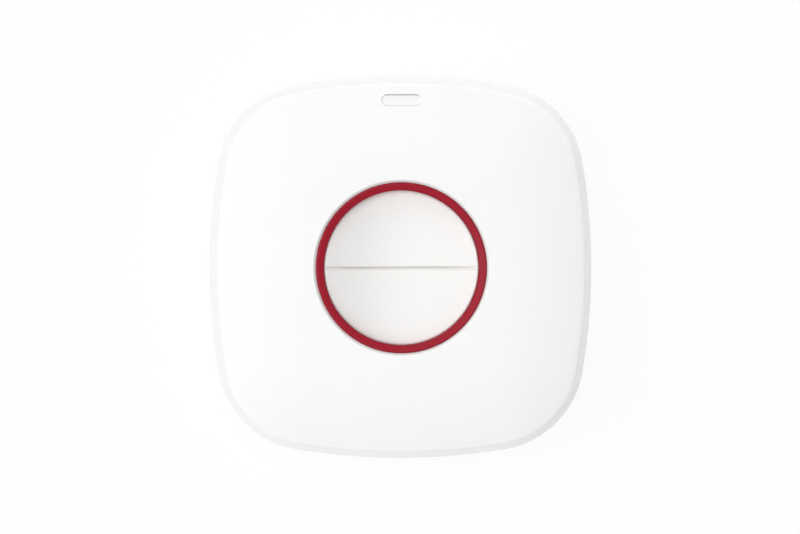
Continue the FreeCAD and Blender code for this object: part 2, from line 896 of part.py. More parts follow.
def switch_plate():
    """Steel plate over the switch, with its stem hole and two folded tabs."""
    low = switch_top - switch_plate_thickness
    size = (switch_size, switch_size, switch_plate_thickness)
    pieces = [block(size, 0, button_centre, low)]
    for side in (-1, 1):
        tab = (switch_tab_width, switch_plate_thickness, switch_tab_depth)
        y = button_centre + side * (switch_size + switch_plate_thickness) / 2
        pieces.append(block(tab, 0, y, switch_top - switch_tab_depth))
    hole = post(stem_radius + stem_clearance, switch_plate_thickness, 0, button_centre, low)
    return joined(pieces).cut(hole)


def stem_foot_level():
    """Height of the stem's foot, a collar's height and more below the plate."""
    collar_top = switch_top - switch_plate_thickness - stem_clearance / 2
    return collar_top - stem_collar_height - stem_foot


def switch_stem():
    """Stem that the button's plunger presses, kept in the switch by its collar."""
    foot = stem_foot_level()
    stem = post(stem_radius, stem_top - foot, 0, button_centre, foot)
    top = [edge for edge in stem.Edges if abs(edge.CenterOfMass.z - stem_top) < 1e-6]
    stem = stem.makeChamfer(stem_bevel, top)
    collar = post(stem_collar_radius, stem_collar_height, 0, button_centre, foot + stem_foot)
    return joined([stem, collar])


def radio_shield():
    """Stamped can over the radio chip, open towards the board."""
    can = block(shield_size, shield_x, 0, board_top)
    uprights = [edge for edge in can.Edges if edge.BoundBox.ZLength > shield_size[2] / 2]
    can = can.makeFillet(shield_round, uprights)
    hollow = [size - 2 * shield_wall for size in shield_size]
    room = block((hollow[0], hollow[1], shield_size[2] - shield_wall), shield_x, 0, board_top)
    uprights = [edge for edge in room.Edges if edge.BoundBox.ZLength > shield_size[2] / 2]
    room = room.makeFillet(shield_round - shield_wall, uprights)
    return can.cut(room)


def chip(size, x):
    """Flat package with a pin-one dimple in its corner."""
    body = block(size, x, 0, board_top)
    corner = (x - size[0] / 2 + dimple_inset, size[1] / 2 - dimple_inset)
    foot = board_top + size[2] - dimple_depth
    return body.cut(post(dimple_radius, dimple_depth, corner[0], corner[1], foot))


def crystal():
    """Metal-lidded crystal package."""
    body = block(crystal_size, controller_x + crystal_place[0], crystal_place[1], board_top)
    uprights = [edge for edge in body.Edges if edge.BoundBox.ZLength > crystal_size[2] / 2]
    return body.makeFillet(crystal_round, uprights)


def board_passives():
    """Small resistors and capacitors."""
    places = list(passive_places)
    places += [(controller_x + x, y) for x, y in controller_passives]
    places.append((light_resistor[0], light_offset + light_resistor[1]))
    return Part.makeCompound([block(passive_size, x, y, board_top) for x, y in places])


def status_led():
    """Status light under the window's guide."""
    return block(light_size, 0, light_offset, board_top)


def antenna():
    """Wire loop that stands on the board along its lower edge."""
    half = antenna_length / 2
    top = board_top + antenna_rise
    knee = top - antenna_bend
    inner = half - antenna_bend
    slope = antenna_bend * math.sqrt(0.5)
    edges = []
    edges.append(Part.makeLine(V(-half, 0, board_top), V(-half, 0, knee)))
    edges.append(Part.Arc(V(-half, 0, knee), V(-inner - slope, 0, knee + slope), V(-inner, 0, top)).toShape())
    edges.append(Part.makeLine(V(-inner, 0, top), V(inner, 0, top)))
    edges.append(Part.Arc(V(inner, 0, top), V(inner + slope, 0, knee + slope), V(half, 0, knee)).toShape())
    edges.append(Part.makeLine(V(half, 0, knee), V(half, 0, board_top)))
    wire = Part.Wire([Part.makeCircle(antenna_wire_radius, V(-half, 0, board_top), UP)])
    return moved(Part.Wire(edges).makePipeShell([wire], True, True), 0, antenna_offset)


def parts():
    """Every sub-part by name."""
    upper = button()
    base = switch_base()
    cap = switch_plate()
    stem = switch_stem()
    return {
        "front_cover": front_cover(),
        "rear_cover": rear_cover(),
        "red_ring": red_ring(),
        "upper_button": upper,
        "lower_button": turned(upper, 180.0),
        "indicator_window": indicator_window(),
        "circuit_board": circuit_board(),
        "board_screws": board_screws(),
        "upper_switch_base": base,
        "lower_switch_base": turned(base, 180.0),
        "upper_switch_plate": cap,
        "lower_switch_plate": turned(cap, 180.0),
        "upper_switch_stem": stem,
        "lower_switch_stem": turned(stem, 180.0),
        "battery_holder": battery_holder(),
        "coin_cell": coin_cell(),
        "positive_contact": positive_contact(),
        "negative_contact": negative_contact(),
        "radio_shield": radio_shield(),
        "radio_chip": chip(chip_size, shield_x),
        "controller_chip": chip(controller_size, controller_x),
        "crystal": crystal(),
        "board_passives": board_passives(),
        "status_led": status_led(),
        "antenna": antenna(),
    }


os.makedirs("parts", exist_ok=True)
for name, shape in parts().items():
    shape.exportStep(os.path.join("parts", name + ".step"))
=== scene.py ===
import math
import bpy
from bpy.props import FloatProperty, FloatVectorProperty, PointerProperty
from mathutils import Matrix, Vector


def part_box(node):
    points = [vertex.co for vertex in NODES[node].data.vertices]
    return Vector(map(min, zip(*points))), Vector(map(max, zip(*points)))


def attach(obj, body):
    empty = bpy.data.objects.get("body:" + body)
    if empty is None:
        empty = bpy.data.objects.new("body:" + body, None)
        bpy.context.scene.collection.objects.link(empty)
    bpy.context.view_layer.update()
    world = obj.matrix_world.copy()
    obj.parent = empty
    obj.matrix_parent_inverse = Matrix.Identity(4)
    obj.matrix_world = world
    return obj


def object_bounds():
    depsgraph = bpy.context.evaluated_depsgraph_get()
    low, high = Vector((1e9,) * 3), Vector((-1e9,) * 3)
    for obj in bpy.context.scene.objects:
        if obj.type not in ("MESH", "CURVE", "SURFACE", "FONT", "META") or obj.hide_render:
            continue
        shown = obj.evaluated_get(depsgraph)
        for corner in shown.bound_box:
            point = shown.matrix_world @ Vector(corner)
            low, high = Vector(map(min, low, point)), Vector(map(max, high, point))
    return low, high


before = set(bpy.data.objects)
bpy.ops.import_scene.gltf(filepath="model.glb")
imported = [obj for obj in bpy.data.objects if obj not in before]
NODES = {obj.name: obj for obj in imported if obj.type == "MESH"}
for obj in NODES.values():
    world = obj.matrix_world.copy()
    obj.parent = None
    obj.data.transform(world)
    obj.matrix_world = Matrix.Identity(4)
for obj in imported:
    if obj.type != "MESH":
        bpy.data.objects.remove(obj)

bl_info = {
    "name": "Wireless panic button",
    "version": (1, 0, 0),
    "blender": (4, 5, 0),
    "location": "3D View > Sidebar > Panic button",
    "description": "Finishes the moulded, metal and electronic pieces of a wireless panic button",
    "category": "Object",
}

CAD_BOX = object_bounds()
MM = 0.001
BLACK = (0.0, 0.0, 0.0)
WHITE = (1.0, 1.0, 1.0)

# Two tones of each plastic and metal: the main one, then the one that its mottling brings in
TIN = ((0.7, 0.7, 0.68), (0.63, 0.63, 0.61))
SOLDER_TIN = ((0.72, 0.72, 0.71), (0.6, 0.6, 0.59))
GILT = ((0.83, 0.62, 0.28), (0.66, 0.47, 0.2))
SWITCH_STEEL = ((0.7, 0.7, 0.69), (0.55, 0.55, 0.55))
CELL_STEEL = ((0.74, 0.74, 0.72), (0.58, 0.58, 0.57))
ZINC = ((0.66, 0.68, 0.72), (0.5, 0.52, 0.55))
PACKAGE = ((0.03, 0.03, 0.031), (0.04, 0.04, 0.04))
CERAMIC = ((0.24, 0.16, 0.1), (0.2, 0.13, 0.08))
LENS = ((0.85, 0.8, 0.5), (0.8, 0.74, 0.42))
BLACK_NYLON = ((0.022, 0.022, 0.024), (0.03, 0.03, 0.032))
FROST = ((0.9, 0.905, 0.91), (0.88, 0.885, 0.89))

# Solder at the feet of a part: the node, the feet's places across it, how far they stand in from its
# ends, and the length, width and height of a heap, all in millimetres
SOLDERED = (
    ("upper_switch_base", (-2.25, 2.25), -0.082, (1.0, 1.3, 0.34)),
    ("lower_switch_base", (-2.25, 2.25), -0.082, (1.0, 1.3, 0.34)),
    ("antenna", (0.0,), 0.4, (1.9, 1.9, 0.75)),
    ("status_led", (0.0,), 0.0, (0.6, 1.1, 0.42)),
    ("radio_shield", (-3.4, 0.0, 3.4), 0.0, (0.8, 1.7, 0.4)),
)

# Sizes at the ends of a small component, and how far the solder's middle stands out from an end and
# the tinned cap's middle in from it, in millimetres
COMPONENT_SOLDER = (0.5, 0.95, 0.32)
SOLDER_OUTWARDS = 0.12
COMPONENT_CAP = (0.3, 0.84, 0.58)
CAP_INWARDS = 0.13

# The controller's leads, in millimetres
LEAD = (0.24, 0.24, 0.16)
LEAD_PITCH = 0.5
LEADS_A_SIDE = 12


class Value:
    """Output socket of a node that adds Math nodes when it is used in an expression."""

    def __init__(self, finish, socket):
        self.finish = finish
        self.socket = socket

    def maths(self, operation, *values):
        return self.finish.node("ShaderNodeMath", {"operation": operation}, dict(enumerate(values)))

    def __add__(self, other):
        return self.maths("ADD", self, other)

    def __radd__(self, other):
        return self.maths("ADD", other, self)

    def __rsub__(self, other):
        return self.maths("SUBTRACT", other, self)

    def __mul__(self, other):
        return self.maths("MULTIPLY", self, other)

    def __rmul__(self, other):
        return self.maths("MULTIPLY", other, self)

    def __truediv__(self, other):
        return self.maths("DIVIDE", self, other)

    def __pow__(self, other):
        return self.maths("POWER", self, other)

    def __abs__(self):
        return self.maths("ABSOLUTE", self)


class Finish:
    """Node graph of one material or of the world's light."""

    def __init__(self, owner):
        owner.use_nodes = True
        self.owner = owner
        self.tree = owner.node_tree
        self.tree.nodes.clear()

    def node(self, kind, settings=None, sockets=None, output=0):
        """Adds a node, sets it up, feeds its sockets and returns one of its outputs."""
        made = self.tree.nodes.new(kind)
        for name, value in (settings or {}).items():
            setattr(made, name, value)
        for name, value in (sockets or {}).items():
            if isinstance(value, Value):
                self.tree.links.new(value.socket, made.inputs[name])
            else:
                made.inputs[name].default_value = value
        return Value(self, made.outputs[output]) if made.outputs else None

    def millimetres(self):
        """Place on the piece, in millimetres."""
        place = self.node("ShaderNodeTexCoord", output="Object")
        return self.node("ShaderNodeVectorMath", {"operation": "SCALE"}, {0: place, "Scale": 1000.0})

    def axes(self, vector, count=3):
        """The first numbers of a vector."""
        return [self.node("ShaderNodeSeparateXYZ", sockets={0: vector}, output=i) for i in range(count)]

    def noise(self, place, size, detail=2.0, stretch=(1.0, 1.0, 1.0), seed=0.0):
        """Smooth noise whose blotches are about size millimetres across, from 0 to 1."""
        spread = [s / size for s in stretch]
        sockets = {"Vector": place, "Location": (seed, seed, seed), "Scale": spread}
        moved = self.node("ShaderNodeMapping", {"vector_type": "POINT"}, sockets)
        sockets = {"Vector": moved, "Scale": 1.0, "Detail": detail, "Roughness": 0.55}
        return self.node("ShaderNodeTexNoise", {"noise_dimensions": "3D"}, sockets)

    def ramp(self, value, low, high, to_low=0.0, to_high=1.0):
        """Value carried smoothly from one range to another and held at its ends."""
        settings = {"interpolation_type": "SMOOTHSTEP", "clamp": True}
        sockets = {0: value, 1: low, 2: high, 3: to_low, 4: to_high}
        return self.node("ShaderNodeMapRange", settings, sockets)

    def mixed(self, share, first, second):
        """Colour between two colours."""
        colours = [colour if isinstance(colour, Value) else (*colour, 1.0) for colour in (first, second)]
        sockets = {0: share, 6: colours[0], 7: colours[1]}
        return self.node("ShaderNodeMix", {"data_type": "RGBA"}, sockets, 2)

    def bumped(self, height, depth):
        """Normal over a relief whose height runs from 0 to 1, depth millimetres deep."""
        sockets = {"Height": height, "Distance": depth * MM, "Strength": 1.0}
        return self.node("ShaderNodeBump", sockets=sockets)

    def flowing(self, place, colour, tint):
        """Colour with the faint flow marks of moulded plastic."""
        flow = self.noise(place, 14.0, 2.0, seed=3.0)
        return self.mixed(self.ramp(flow, 0.3, 0.7), colour, tint)

    def grained(self, fine, roughness):
        """Roughness that varies with a spark-eroded grain."""
        return self.ramp(fine, 0.25, 0.75, roughness - 0.04, roughness + 0.04)

    def metal_surface(self, lines, place, colour, dark, roughness, relief):
        """Metal with fine lines over a cloudy tone."""
        cloud = self.noise(place, 3.0, 2.0, seed=5.0)
        tone = self.ramp(lines * 0.6 + cloud * 0.4, 0.35, 0.65)
        return self.surface(
            Base_Color=self.mixed(tone, dark, colour),
            Metallic=1.0,
            Roughness=self.ramp(lines, 0.3, 0.7, roughness - 0.07, roughness + 0.09),
            Normal=self.bumped(lines, relief),
        )

    def surface(self, **sockets):
        """Ends the graph in the material's shader."""
        spaced = {name.replace("_", " "): value for name, value in sockets.items()}
        shader = self.node("ShaderNodeBsdfPrincipled", sockets=spaced)
        self.node("ShaderNodeOutputMaterial", sockets={"Surface": shader})
        return self.owner


def coat(nodes, material):
    """Gives CAD nodes a material in place of the one that they came with."""
    for name in nodes:
        mesh = NODES[name].data
        mesh.materials.clear()
        mesh.materials.append(material)


def soft(glow):
    """Sockets of plastic that light goes glow millimetres into before it comes out again."""
    return {"Subsurface_Weight": 1.0, "Subsurface_Scale": glow * MM, "Subsurface_Radius": WHITE}


def moulded(name, colour, tint, roughness, grain=0.12, relief=0.0012, glow=0.0, shine=0.5):
    """Moulded plastic: a spark-eroded grain, and faint flow marks in its colour."""
    finish = Finish(bpy.data.materials.new(name))
    place = finish.millimetres()
    fine = finish.noise(place, grain, 3.0)
    return finish.surface(
        Base_Color=finish.flowing(place, colour, tint),
        Roughness=finish.grained(fine, roughness),
        Normal=finish.bumped(fine, relief),
        IOR=1.5,
        Specular_IOR_Level=shine,
        **(soft(glow) if glow else {}),
    )


def satin_key(name, colour, roughness, radius, glow):
    """Satin plastic of the two keys, with a painted glow along their thin rounded rim and beside the
    split, where the gaps would show dark.

    Beside the split it has a painted shade, and towards its two ends a painted cooler tint that cancels
    the red reflection of the ring's wall.
    """
    finish = Finish(bpy.data.materials.new(name))
    place = finish.millimetres()
    x, y = finish.axes(place, 2)
    fine = finish.noise(place, 0.1, 3.0)
    tint = tuple(value * 0.992 for value in colour)
    # Painted cooler tint that cancels the red which the ring's wall reflects on the keys
    reflection_cancelling_tint = tuple(value * share for value, share in zip(colour, (0.984, 1.012, 1.01)))
    # Colour of the painted shade beside the split
    dark = tuple(value * 0.85 for value in colour)

    # The painted glow at the rim is strongest at the trough's two ends, where x is 0 and the keys lie
    # deepest in the ring, and the painted glow beside the split grows to the right
    edge_round = 0.25
    deep = 1.0 - (x / radius) ** 2.0
    at_rim = finish.ramp((x * x + y * y) ** 0.5, radius - edge_round, radius)
    painted_rim_glow = at_rim * (0.03 + 0.25 * deep)
    painted_split_glow = finish.ramp(abs(y), 0.05, 0.11, 1.0, 0.0) * finish.ramp(x, -9.0, 3.0, 0.25, 0.4)
    # The keys' painted glow: whichever of the two is brighter
    light = painted_rim_glow.maths("MAXIMUM", painted_rim_glow, painted_split_glow)
    painted_glow = finish.node("ShaderNodeClamp", sockets={0: light})

    # The painted shade beside the split lies a little lower than the split
    painted_split_shade = finish.ramp(abs(y + 0.06), 0.2, 0.42, 1.0, 0.0)
    # Where the ring's red reflection is cancelled: fully at the lower end, half as much at the upper end
    red_reflection_share = finish.ramp(y, -11.0, -3.0, 1.0, 0.0) + finish.ramp(y, 3.0, 11.0, 0.0, 0.5)
    reflection_cancelled = finish.mixed(red_reflection_share, finish.flowing(place, colour, tint), reflection_cancelling_tint)
    return finish.surface(
        Base_Color=finish.mixed(painted_split_shade, reflection_cancelled, dark),
        Roughness=finish.grained(fine, roughness),
        Normal=finish.bumped(fine, 0.0008),
        # Painted light: the keys glow by their own emission at the rim and beside the split
        Emission_Color=finish.mixed(painted_glow, BLACK, (1.0, 1.0, 0.98)),
        Emission_Strength=1.0,
        IOR=1.5,
        **soft(glow),
    )


def metal(name, colour, dark, roughness, size=0.4, stretch=(1.0, 1.0, 1.0), relief=0.0006):
    """Rolled or plated metal: fine lines or mottling in its tone, gloss and relief."""
    finish = Finish(bpy.data.materials.new(name))
    place = finish.millimetres()
    lines = finish.noise(place, size, 4.0, stretch)
    return finish.metal_surface(lines, place, colour, dark, roughness, relief)


def turned_steel(name, colour, dark, roughness):
    """Steel whose brushing runs in circles round the Z axis, as on a pressed can."""
    finish = Finish(bpy.data.materials.new(name))
    place = finish.millimetres()
    x, y, z = finish.axes(place)
    radius = (x * x + y * y) ** 0.5
    angle = finish.node("ShaderNodeMath", {"operation": "ARCTAN2"}, {0: y, 1: x})
    polar = finish.node("ShaderNodeCombineXYZ", sockets={0: radius, 1: angle * 1.5, 2: z})
    lines = finish.noise(polar, 0.12, 4.0, (1.0, 0.1, 1.0))
    return finish.metal_surface(lines, place, colour, dark, roughness, 0.0008)


def printed_board(name):
    """Lacquered laminate: tracks and vias under green lacquer, and bare fibre at its cut edges."""
    finish = Finish(bpy.data.materials.new(name))
    place = finish.millimetres()
    x, y = finish.axes(place, 2)

    # Tracks that run one way in some regions and across in the others
    across = finish.node("ShaderNodeCombineXYZ", sockets={0: y, 1: x, 2: 0.0})
    tracks = []
    for run, width in ((place, 7.0), (across, 5.0)):
        sockets = {"Vector": run, "Scale": 1.0, "Mortar Size": 0.11, "Mortar Smooth": 0.1}
        sockets |= {"Brick Width": width, "Row Height": 0.85}
        tracks.append(finish.node("ShaderNodeTexBrick", {"offset": 0.37, "squash": 1.0}, sockets, "Fac"))
    region = finish.ramp(finish.noise(place, 9.0, 0.0), 0.47, 0.49)
    track = tracks[0] * region + tracks[1] * (1.0 - region)

    # Scattered vias, gilt, each with a near-black spot of painted shade where its hole is
    settings = {"feature": "F1", "distance": "EUCLIDEAN"}
    sockets = {"Vector": place, "Scale": 0.34, "Randomness": 0.75}
    spot = finish.node("ShaderNodeTexVoronoi", settings, sockets, "Distance")
    via = finish.ramp(spot, 0.11, 0.13, 1.0, 0.0)
    painted_hole_shade = finish.ramp(spot, 0.045, 0.06, 1.0, 0.0)

    lacquer = finish.mixed(track, (0.008, 0.085, 0.035), (0.02, 0.17, 0.07))
    dotted = finish.mixed(via, lacquer, (0.62, 0.46, 0.2))
    painted_holes = finish.mixed(painted_hole_shade, dotted, (0.02, 0.02, 0.015))

    # Fibre where the surface stands upright
    weave = finish.noise(place, 0.5, 3.0)
    facing = finish.axes(finish.node("ShaderNodeTexCoord", output="Normal"))[2]
    cut = finish.ramp(abs(facing), 0.4, 0.6, 1.0, 0.0)
    fibre = finish.mixed(finish.ramp(weave, 0.3, 0.7), (0.42, 0.38, 0.2), (0.3, 0.28, 0.15))
    return finish.surface(
        Base_Color=finish.mixed(cut, painted_holes, fibre),
        Metallic=via * (1.0 - cut),
        Roughness=finish.ramp(cut + weave * 0.3, 0.0, 1.3, 0.28, 0.75),
        Normal=finish.bumped(track + via, 0.03),
    )


class CoverSettings(bpy.types.PropertyGroup):
    shell: FloatVectorProperty(
        name="Shell colour",
        description="Colour of the two white covers",
        subtype="COLOR",
        size=3,
        default=(0.93, 0.93, 0.932),
        min=0.0,
        max=1.0,
    )
    key: FloatVectorProperty(
        name="Key colour",
        description="Colour of the two half-moon keys",
        subtype="COLOR",
        size=3,
        default=(0.885, 0.875, 0.86),
        min=0.0,
        max=1.0,
    )
    trim: FloatVectorProperty(
        name="Trim colour",
        description="Colour of the trim ring",
        subtype="COLOR",
        size=3,
        default=(0.34, 0.006, 0.022),
        min=0.0,
        max=1.0,
    )
    matt: FloatProperty(
        name="Shell roughness",
        description="How matt the covers are",
        subtype="FACTOR",
        default=0.42,
        min=0.0,
        max=1.0,
    )
    glow: FloatProperty(
        name="Light depth",
        description="How many millimetres light goes into the white plastic",
        default=0.2,
        min=0.0,
    )


class StageSettings(bpy.types.PropertyGroup):
    lens: FloatProperty(
        name="Lens",
        description="Focal length of the camera",
        unit="CAMERA",
        default=900.0,
        min=50.0,
    )
    frame_width: FloatProperty(
        name="Frame width",
        description="Width that the picture takes in at the point aimed at",
        unit="LENGTH",
        default=0.1278,
    )
    aim: FloatVectorProperty(
        name="Aim",
        description="Point at the centre of the picture",
        subtype="XYZ",
        unit="LENGTH",
        size=3,
        default=(-0.00006, 0.0, 0.0065),
    )
    lean: FloatVectorProperty(
        name="Lean",
        description="How far the view leans from straight above, to the left and to the top",
        subtype="EULER",
        size=2,
        default=(math.radians(0.85), math.radians(0.65)),
    )
    lamps: FloatProperty(
        name="Lamps",
        description="Strength of all the lamps together",
        subtype="FACTOR",
        default=1.0,
        min=0.0,
    )
    sky: FloatProperty(
        name="Sky",
        description="Strength of the even light from all round",
        default=0.386,
        min=0.0,
    )
    shadow: FloatProperty(
        name="Shadow",
        description="How much of the floor shows its shadow",
        subtype="FACTOR",
        default=0.1,
        min=0.0,
        max=1.0,
    )


# Lamps: direction on the floor and height over it in degrees, then distance, width and height in
# metres, and watts
LAMPS = {
    "left_softbox": (180.0, 50.0, 1.0, 0.5, 0.5, 2.22),
    "upper_left_softbox": (120.0, 22.0, 1.0, 0.5, 0.5, 1.34),
    "overhead_softbox": (150.0, 85.0, 1.0, 0.6, 0.6, 4.12),
    "upper_right_card": (45.0, 1.1, 0.8, 0.5, 0.028, 1.26),
    "upper_card": (90.0, 1.1, 0.8, 0.5, 0.028, 0.25),
    "upper_left_card": (135.0, 1.1, 0.8, 0.5, 0.028, 0.15),
    "lower_left_card": (225.0, 1.1, 0.8, 0.5, 0.028, 0.48),
    "lower_card": (270.0, 1.1, 0.8, 0.5, 0.028, 0.9),
}


def box_of(node):
    """Low corner, high corner and middle of a CAD node, in millimetres."""
    low, high = [[value / MM for value in corner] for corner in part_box(node)]
    return low, high, [(low[i] + high[i]) / 2 for i in range(3)]


def alone():
    """Deselects everything, so that the next operator acts on what it adds."""
    bpy.ops.object.select_all(action="DESELECT")


def named(name):
    """Names the piece that an operator has just added."""
    piece = bpy.context.object
    piece.name = name
    piece.data.name = name
    return piece


def choose(piece, kind, wanted):
    """Enters edit mode with only those faces or edges selected whose middle and direction pass."""
    mesh = piece.data
    for group in (mesh.vertices, mesh.edges, mesh.polygons):
        group.foreach_set("select", [False] * len(group))
    bpy.context.tool_settings.mesh_select_mode = (False, kind == "edges", kind == "faces")
    if kind == "faces":
        for face in mesh.polygons:
            face.select = wanted(face.center, face.normal)
    else:
        for edge in mesh.edges:
            first, last = [mesh.vertices[i].co for i in edge.vertices]
            edge.select = wanted((first + last) / 2, (last - first).normalized())
    bpy.ops.object.mode_set(mode="EDIT")


def done():
    """Leaves edit mode."""
    bpy.ops.object.mode_set(mode="OBJECT")


def eased(piece, wanted, offset, segments):
    """Rounds off those edges whose middle and direction pass, offset millimetres wide."""
    choose(piece, "edges", wanted)
    bpy.ops.mesh.bevel(offset=offset * MM, segments=segments, affect="EDGES")
    done()


def off_the_foot(middle, along):
    """Edges that don't lie on the foot of a small piece."""
    return middle.z > 0.1 * MM


def brick(name, size, centre):
    """Block to be shaped, in millimetres, with its size in its mesh."""
    alone()
    bpy.ops.mesh.primitive_cube_add(size=1.0, location=[value * MM for value in centre])
    piece = named(name)
    piece.scale = [value * MM for value in size]
    bpy.ops.object.transform_apply(location=True, rotation=True, scale=True)
    return piece


def hoop(name, radii, heights, round_off, steps=96):
    """Ring turned round the Z axis from a rectangle with its corners rounded off."""
    alone()
    middle = (sum(radii) / 2 * MM, 0.0, sum(heights) / 2 * MM)
    bpy.ops.mesh.primitive_plane_add(size=1.0, location=middle, rotation=(math.pi / 2, 0.0, 0.0))
    piece = named(name)
    piece.scale = ((radii[1] - radii[0]) * MM, (heights[1] - heights[0]) * MM, 1.0)
    bpy.ops.object.transform_apply(location=True, rotation=True, scale=True)
    choose(piece, "faces", lambda centre, normal: True)
    bpy.ops.mesh.bevel(offset=round_off * MM, segments=3, affect="VERTICES")
    bpy.ops.mesh.select_all(action="SELECT")
    bpy.ops.mesh.delete(type="ONLY_FACE")
    bpy.ops.mesh.select_mode(type="VERT")
    bpy.ops.mesh.select_all(action="SELECT")
    bpy.ops.mesh.spin(steps=steps, angle=2 * math.pi, center=(0.0, 0.0, 0.0), axis=(0.0, 0.0, 1.0))
    bpy.ops.mesh.select_all(action="SELECT")
    bpy.ops.mesh.remove_doubles(threshold=0.001 * MM)
    bpy.ops.mesh.delete_loose()
    bpy.ops.mesh.select_all(action="SELECT")
    bpy.ops.mesh.normals_make_consistent(inside=False)
    done()
    return piece


def repeated(piece, places, sizes=None):
    """Copies of a piece at places in millimetres, joined in one, each with its own mesh."""
    copies = []
    for index, place in enumerate(places):
        copy = piece.copy()
        copy.data = piece.data.copy()
        copy.location = [value * MM for value in place]
        copy.scale = sizes[index] if sizes else (1.0, 1.0, 1.0)
        bpy.context.scene.collection.objects.link(copy)
        copies.append(copy)
    name = piece.name
    bpy.data.objects.remove(piece)
    alone()
    for copy in copies:
        copy.select_set(True)
    bpy.context.view_layer.objects.active = copies[0]
    bpy.ops.object.join()
    joined = named(name)
    bpy.ops.object.transform_apply(location=True, rotation=True, scale=True)
    return joined


def mound(name):
    """Heap of solder a millimetre long, wide and high, standing on its foot, narrower at its top."""
    piece = brick(name, (1.0, 1.0, 1.0), (0.0, 0.0, 0.5))
    choose(piece, "faces", lambda centre, normal: normal.z > 0.9)
    bpy.ops.mesh.inset(thickness=0.12 * MM)
    bpy.ops.transform.resize(value=(0.62, 0.62, 1.0))
    done()
    eased(piece, off_the_foot, 0.11, 2)
    return piece


def stud(name, radius, height):
    """Low round head with a domed top, standing on its foot."""
    alone()
    bpy.ops.mesh.primitive_uv_sphere_add(segments=20, ring_count=12, radius=radius * MM)
    piece = named(name)
    choose(piece, "faces", lambda centre, normal: True)
    level = {"plane_co": (0.0, 0.0, 0.0), "plane_no": (0.0, 0.0, 1.0)}
    bpy.ops.mesh.bisect(use_fill=True, clear_inner=True, **level)
    bpy.ops.mesh.select_all(action="SELECT")
    bpy.ops.transform.resize(value=(1.0, 1.0, height / radius))
    done()
    return piece


def fitted(piece, material, angle=40.0):
    """Ends a new piece: smooth shading, its material and its ride on the housing."""
    alone()
    piece.select_set(True)
    bpy.context.view_layer.objects.active = piece
    bpy.ops.object.shade_smooth_by_angle(angle=math.radians(angle))
    piece.data.materials.clear()
    piece.data.materials.append(material)
    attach(piece, "housing")


class PANIC_OT_covers(bpy.types.Operator):
    """Finishes the front and rear covers in matt white plastic"""

    bl_idname = "panic_button.covers"
    bl_label = "Covers"
    bl_options = {"REGISTER", "UNDO"}

    def execute(self, context):
        settings = context.scene.panic_button_covers
        colour = tuple(settings.shell)
        tint = tuple(value * 0.992 for value in colour)
        shell = moulded("white_shell_plastic", colour, tint, settings.matt, glow=settings.glow)
        coat(["front_cover", "rear_cover"], shell)
        return {"FINISHED"}


class PANIC_OT_keys(bpy.types.Operator):
    """Finishes the two half-moon keys in satin white plastic"""

    bl_idname = "panic_button.keys"
    bl_label = "Keys"
    bl_options = {"REGISTER", "UNDO"}

    def execute(self, context):
        settings = context.scene.panic_button_covers
        colour = tuple(settings.key)
        radius = box_of("upper_button")[1][1]
        satin = satin_key("white_key_plastic", colour, 0.36, radius, settings.glow)
        coat(["upper_button", "lower_button"], satin)
        return {"FINISHED"}


class PANIC_OT_trim(bpy.types.Operator):
    """Finishes the trim ring in satin red plastic"""

    bl_idname = "panic_button.trim"
    bl_label = "Trim ring"
    bl_options = {"REGISTER", "UNDO"}

    def execute(self, context):
        colour = tuple(context.scene.panic_button_covers.trim)
        tint = tuple(value * 0.93 for value in colour)
        satin = moulded("red_trim_plastic", colour, tint, 0.34, grain=0.09, relief=0.0008, shine=0.15)
        coat(["red_ring"], satin)
        return {"FINISHED"}


class PANIC_OT_window(bpy.types.Operator):
    """Finishes the status light's window in frosted plastic"""

    bl_idname = "panic_button.window"
    bl_label = "Window"
    bl_options = {"REGISTER", "UNDO"}

    def execute(self, context):
        coat(["indicator_window"], self.frosted(*FROST))
        return {"FINISHED"}

    def frosted(self, pale, tint):
        """Frosted plastic with a painted glow at its right end and a painted shadow along its top."""
        high = box_of("indicator_window")[1]
        finish = Finish(bpy.data.materials.new("frosted_window_plastic"))
        place = finish.millimetres()
        x, y = finish.axes(place, 2)
        fine = finish.noise(place, 0.08, 3.0)
        flange = 0.85  # what lies under the roof beyond the lens's end
        end, top = high[0] - flange, high[1]
        # Painted glow at the lens's right end
        lit = finish.ramp(x, end - 0.22, end - 0.05, 0.0, 0.3)
        # Painted shadow along the lens's top edge, under the slot's upper wall
        clear = finish.ramp(y, top - 0.3, top - 0.1)
        frost = finish.mixed(fine, tint, pale)
        return finish.surface(
            Base_Color=finish.mixed(clear, frost, tuple(value * 0.75 for value in tint)),
            Roughness=finish.grained(fine, 0.5),
            Normal=finish.bumped(fine, 0.0015),
            Emission_Color=finish.mixed(lit, BLACK, WHITE),
            Emission_Strength=1.0,
            IOR=1.5,
        )


class PANIC_OT_board(bpy.types.Operator):
    """Finishes the circuit board and the small parts soldered to it"""

    bl_idname = "panic_button.board"
    bl_label = "Circuit board"
    bl_options = {"REGISTER", "UNDO"}

    def execute(self, context):
        coat(["circuit_board"], printed_board("board_laminate"))
        package = moulded("chip_package", *PACKAGE, 0.6, grain=0.05, relief=0.002)
        coat(["radio_chip", "controller_chip"], package)
        can = metal("tin_plate", *TIN, 0.34, size=0.18, relief=0.0004)
        coat(["radio_shield", "crystal"], can)
        ceramic = moulded("fired_ceramic", *CERAMIC, 0.55, grain=0.06, relief=0.002)
        coat(["board_passives"], ceramic)
        lens = moulded("light_lens", *LENS, 0.25, grain=0.1, relief=0.0005, glow=0.3)
        coat(["status_led"], lens)
        coat(["antenna"], metal("gilt_wire", *GILT, 0.3))
        return {"FINISHED"}


